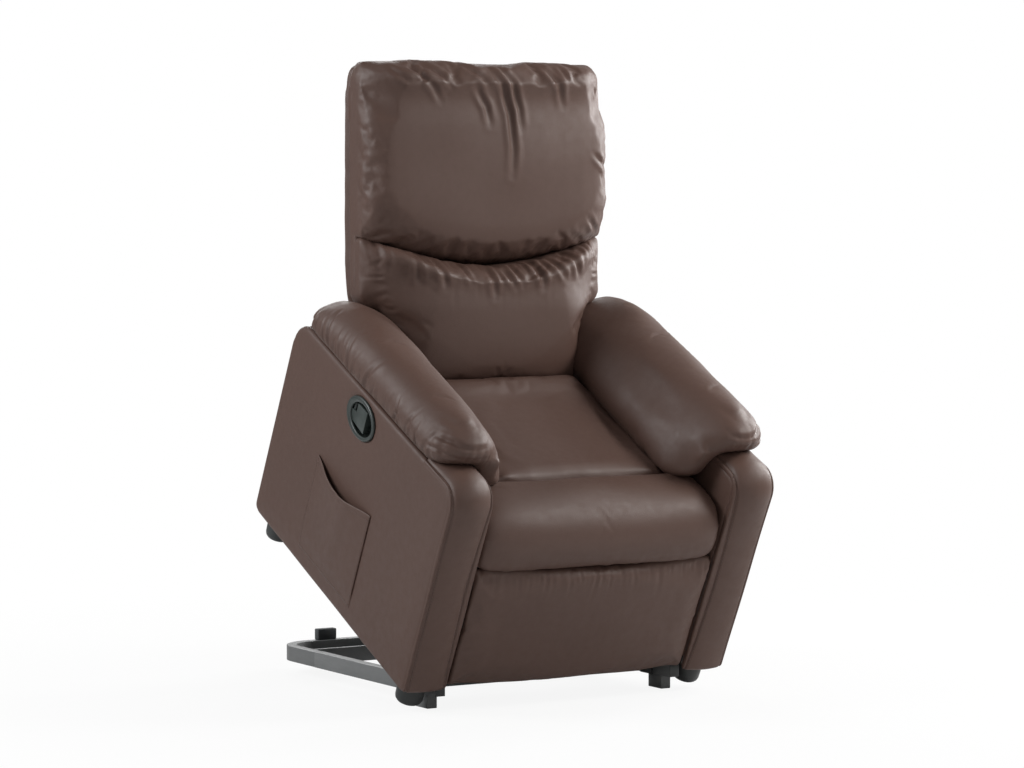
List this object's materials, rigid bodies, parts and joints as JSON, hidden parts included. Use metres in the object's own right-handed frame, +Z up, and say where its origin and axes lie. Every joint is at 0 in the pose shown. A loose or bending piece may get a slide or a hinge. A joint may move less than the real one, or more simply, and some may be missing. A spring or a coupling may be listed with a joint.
{
  "type": "lift recliner chair",
  "caption": "Powered lift recliner armchair on a tilting steel base, with a reclining padded back, fold-out footrest, padded arms, side pocket and pull lever, shown raised.",
  "frame": {"origin": "on the floor, midway between the front of the raised arms and the rear of the base, on the chair's middle plane", "axes": "+Z up; the chair faces -Y; +X is to the right of someone who looks at its front, so the pocket and the release lever are on the -X side"},
  "size_m": [0.7863, 0.9265, 1.2935],
  "materials": {
    "leather": "soft grained brown cover over foam, slight sheen",
    "painted_steel": "satin grey powder coat",
    "black_plastic": "fine matt grain",
    "timber": "raw sawn plywood and pine",
    "zinc": "zinc plated"
  },
  "bodies": {
    "base": {"base_rail_left": "painted_steel", "base_rail_right": "painted_steel", "base_bend_left": "painted_steel", "base_bend_right": "painted_steel", "base_rear_tube": "painted_steel", "base_tray": "painted_steel", "base_crossbar": "painted_steel", "front_foot_blocks": "painted_steel", "rear_foot_pads": "black_plastic", "rail_end_caps": "black_plastic", "rest_blocks": "black_plastic", "arm_brackets": "painted_steel", "link_brackets": "painted_steel", "actuator_clevis": "painted_steel", "base_pivot_pins": "zinc", "bracket_bolts": "zinc"},
    "lift_arms": {"lift_arm_left": "painted_steel", "lift_arm_right": "painted_steel", "torque_tube": "painted_steel"},
    "front_links": {"front_lift_links": "painted_steel"},
    "chair": {"mechanism_plate_left": "painted_steel", "mechanism_plate_right": "painted_steel", "seat_side_rails": "painted_steel", "seat_cross_rails": "timber", "seat_springs": "zinc", "seat_cushion": "leather", "front_roll": "leather", "side_panel_left": "leather", "side_panel_right": "leather", "inner_panels": "leather", "arm_front_left": "leather", "arm_front_right": "leather", "arm_bottom_rails": "timber", "arm_top_boards": "leather", "arm_pad_left": "leather", "arm_pad_right": "leather", "floor_glides": "black_plastic", "rear_panels": "leather", "side_pocket": "leather", "handle_cup": "black_plastic", "chair_fasteners": "zinc"},
    "release_lever": {"release_lever": "black_plastic"},
    "backrest": {"back_posts": "painted_steel", "back_crossbars": "painted_steel", "head_cushion": "leather", "lumbar_cushion": "leather", "back_cover": "leather", "back_edge_pads": "leather"},
    "footrest": {"footrest_board": "timber", "footrest_cushion": "leather", "footrest_brackets": "painted_steel"},
    "footrest_drive": {"footrest_drive_links": "painted_steel", "footrest_cross_tube": "painted_steel"},
    "footrest_rear": {"footrest_rear_links": "painted_steel"},
    "footrest_upper": {"footrest_upper_links": "painted_steel"},
    "footrest_lower": {"footrest_lower_links": "painted_steel"},
    "actuator": {"actuator_motor": "black_plastic", "actuator_tube": "painted_steel"},
    "actuator_rod": {"actuator_rod": "zinc"}
  },
  "joints": [
    {"name": "chair_lift", "type": "hinge", "parent": "base", "child": "lift_arms", "pos_m": [0, -0.09487, 0.1096], "axis": [1, 0, 0], "range_deg": [-36.91, 0]},
    {"name": "chair_tilt", "type": "hinge", "parent": "lift_arms", "child": "chair", "pos_m": [0, 0.23682, 0.36296], "axis": [1, 0, 0], "range_deg": [0, 10.61]},
    {"name": "front_link_swing", "type": "hinge", "parent": "base", "child": "front_links", "pos_m": [0, -0.15529, 0.1062], "axis": [1, 0, 0], "range_deg": [-48.33, 0]},
    {"name": "actuator_swing", "type": "hinge", "parent": "base", "child": "actuator", "pos_m": [0, 0.3435, 0.1], "axis": [1, 0, 0], "range_deg": [-2.72, 0]},
    {"name": "actuator_extend", "type": "slide", "parent": "actuator", "child": "actuator_rod", "axis": [0, -0.9853, 0.171], "range_m": [-0.04845, 0]},
    {"name": "backrest_recline", "type": "hinge", "parent": "chair", "child": "backrest", "pos_m": [0, 0.09189, 0.59752], "axis": [-1, 0, 0], "range_deg": [0, 34]},
    {"name": "footrest_unfold", "type": "hinge", "parent": "chair", "child": "footrest_drive", "pos_m": [0, -0.1457, 0.37859], "axis": [-1, 0, 0], "range_deg": [0, 90]},
    {"name": "footrest_rear_link", "type": "hinge", "parent": "chair", "child": "footrest_rear", "pos_m": [0, -0.08833, 0.40695], "axis": [-1, 0, 0], "range_deg": [0, 90]},
    {"name": "footrest_upper_pivot", "type": "hinge", "parent": "footrest_drive", "child": "footrest_upper", "pos_m": [0, -0.04887, 0.30772], "axis": [-1, 0, 0], "range_deg": [-90, 0]},
    {"name": "footrest_lower_pivot", "type": "hinge", "parent": "footrest_drive", "child": "footrest_lower", "pos_m": [0, -0.01982, 0.28646], "axis": [-1, 0, 0], "range_deg": [-90, 0]},
    {"name": "footrest_turn", "type": "hinge", "parent": "footrest_upper", "child": "footrest", "pos_m": [0, -0.31026, 0.28723], "axis": [-1, 0, 0], "range_deg": [0, 90]},
    {"name": "release_lever_pull", "type": "hinge", "parent": "chair", "child": "release_lever", "pos_m": [-0.374, -0.06509, 0.59579], "axis": [0, 0.4431, -0.8965], "range_deg": [0, 30], "stiffness_Nm_per_rad": 0.3, "springref_deg": -11.46}
  ],
  "couplings": [
    {"joint": "chair_tilt", "follows": "chair_lift", "ratio": -0.28741},
    {"joint": "front_link_swing", "follows": "chair_lift", "ratio": 1.3095},
    {"joint": "actuator_swing", "follows": "chair_lift", "ratio": 0.073742},
    {"joint": "actuator_extend", "follows": "chair_lift", "m_per_rad": 0.075192},
    {"joint": "footrest_rear_link", "follows": "footrest_unfold", "ratio": 1},
    {"joint": "footrest_upper_pivot", "follows": "footrest_unfold", "ratio": -1},
    {"joint": "footrest_lower_pivot", "follows": "footrest_unfold", "ratio": -1},
    {"joint": "footrest_turn", "follows": "footrest_unfold", "ratio": 1}
  ]
}
